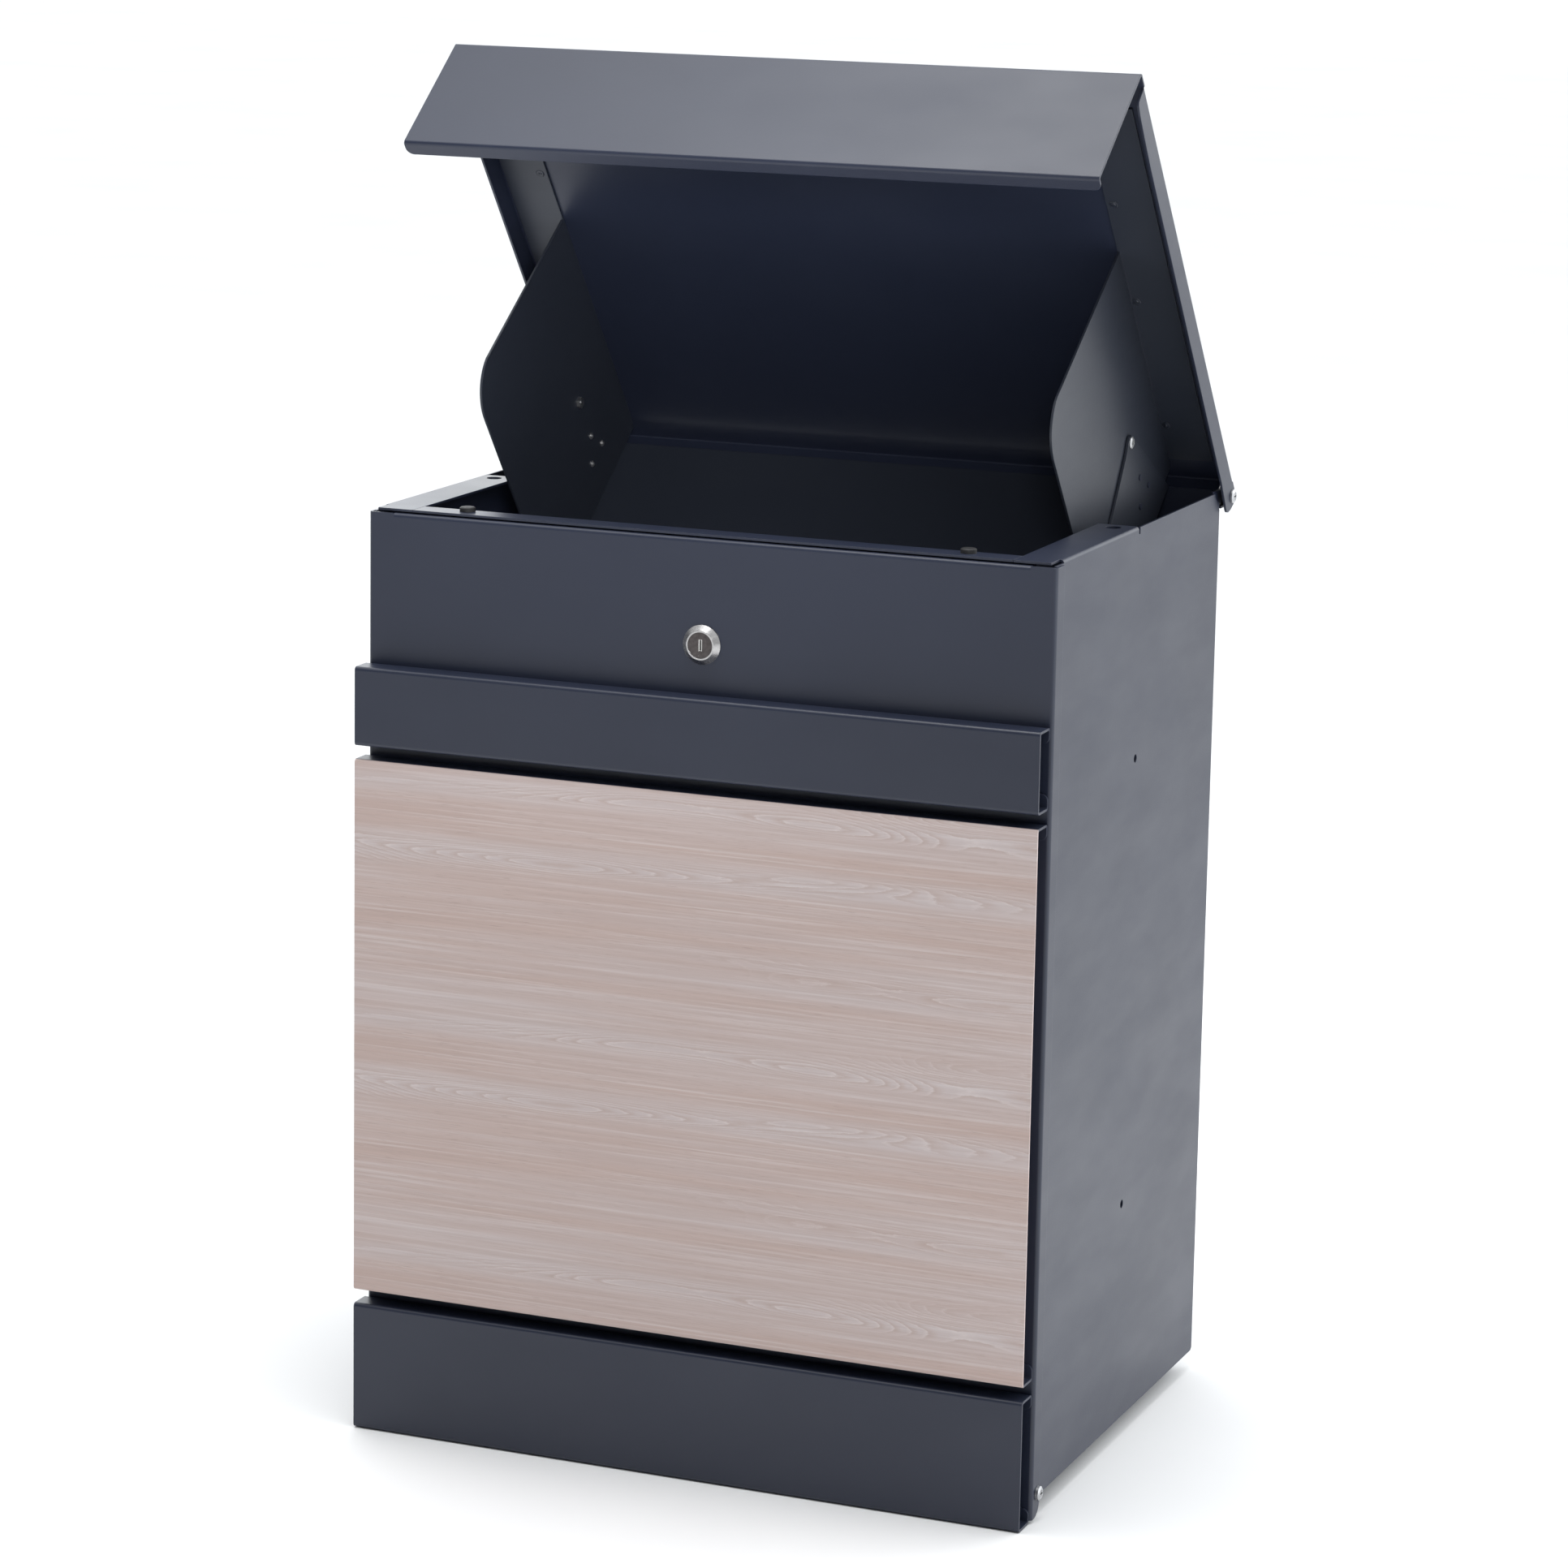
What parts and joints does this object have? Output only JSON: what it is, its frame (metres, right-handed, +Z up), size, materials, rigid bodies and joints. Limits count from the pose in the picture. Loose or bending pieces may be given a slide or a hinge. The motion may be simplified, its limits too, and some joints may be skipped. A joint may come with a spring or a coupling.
{
  "type": "parcel drop box",
  "caption": "Sheet-steel parcel drop box with a tip-up insert lid, drop tray on side cheeks, bottom-hinged collection door with cam lock and folded decor panels, one printed as wood.",
  "frame": {"origin": "centre of the four-hole wall bolt pattern on the outer back face, midway across the cabinet", "axes": "+Z up, +Y out of the back towards the wall, front of the box towards -Y, +X to the right as seen from the front"},
  "size_m": [0.4686, 0.3711, 0.8872],
  "materials": {
    "anthracite_coat": "satin powder coat",
    "wood_print": "matt wood-grain print on sheet",
    "zinc": "bright zinc plate",
    "nickel": "satin nickel",
    "black_rubber": "matt",
    "black_nylon": "matt"
  },
  "bodies": {
    "cabinet": {"body_shell": "anthracite_coat", "front_rail": "anthracite_coat", "floor_pan": "anthracite_coat", "hinge_ear_left": "anthracite_coat", "hinge_ear_right": "anthracite_coat", "ear_rivets": "zinc", "rubber_bumpers": "black_rubber", "lid_pivot_screws": "zinc", "lid_pivot_nuts": "zinc", "lid_pivot_spacers": "black_nylon", "door_pivot_screws": "zinc", "door_pivot_nuts": "zinc"},
    "lid": {"lid_panel": "anthracite_coat", "cheek_left": "anthracite_coat", "cheek_right": "anthracite_coat", "drop_tray": "anthracite_coat", "tray_rivets": "anthracite_coat", "tray_screws": "zinc", "tray_nuts": "zinc"},
    "door": {"door_panel": "anthracite_coat", "handle_strip": "anthracite_coat", "wood_panel": "wood_print", "kick_panel": "anthracite_coat", "decor_rivets": "zinc", "lock_housing": "nickel", "lock_nut": "zinc"},
    "lock_core": {"lock_plug": "nickel", "lock_cam": "zinc", "cam_screw": "zinc"}
  },
  "joints": [
    {"name": "lid_pivot", "type": "hinge", "parent": "cabinet", "child": "lid", "pos_m": [0, 0.0115, 0.291], "axis": [1, 0, 0], "range_deg": [0, 51.6]},
    {"name": "door_pivot", "type": "hinge", "parent": "cabinet", "child": "door", "pos_m": [0, -0.3228, -0.289], "axis": [1, 0, 0], "range_deg": [0, 95]},
    {"name": "lock_turn", "type": "hinge", "parent": "door", "child": "lock_core", "pos_m": [0, -0.332, 0.2275], "axis": [0, 1, 0], "range_deg": [0, 90]}
  ]
}
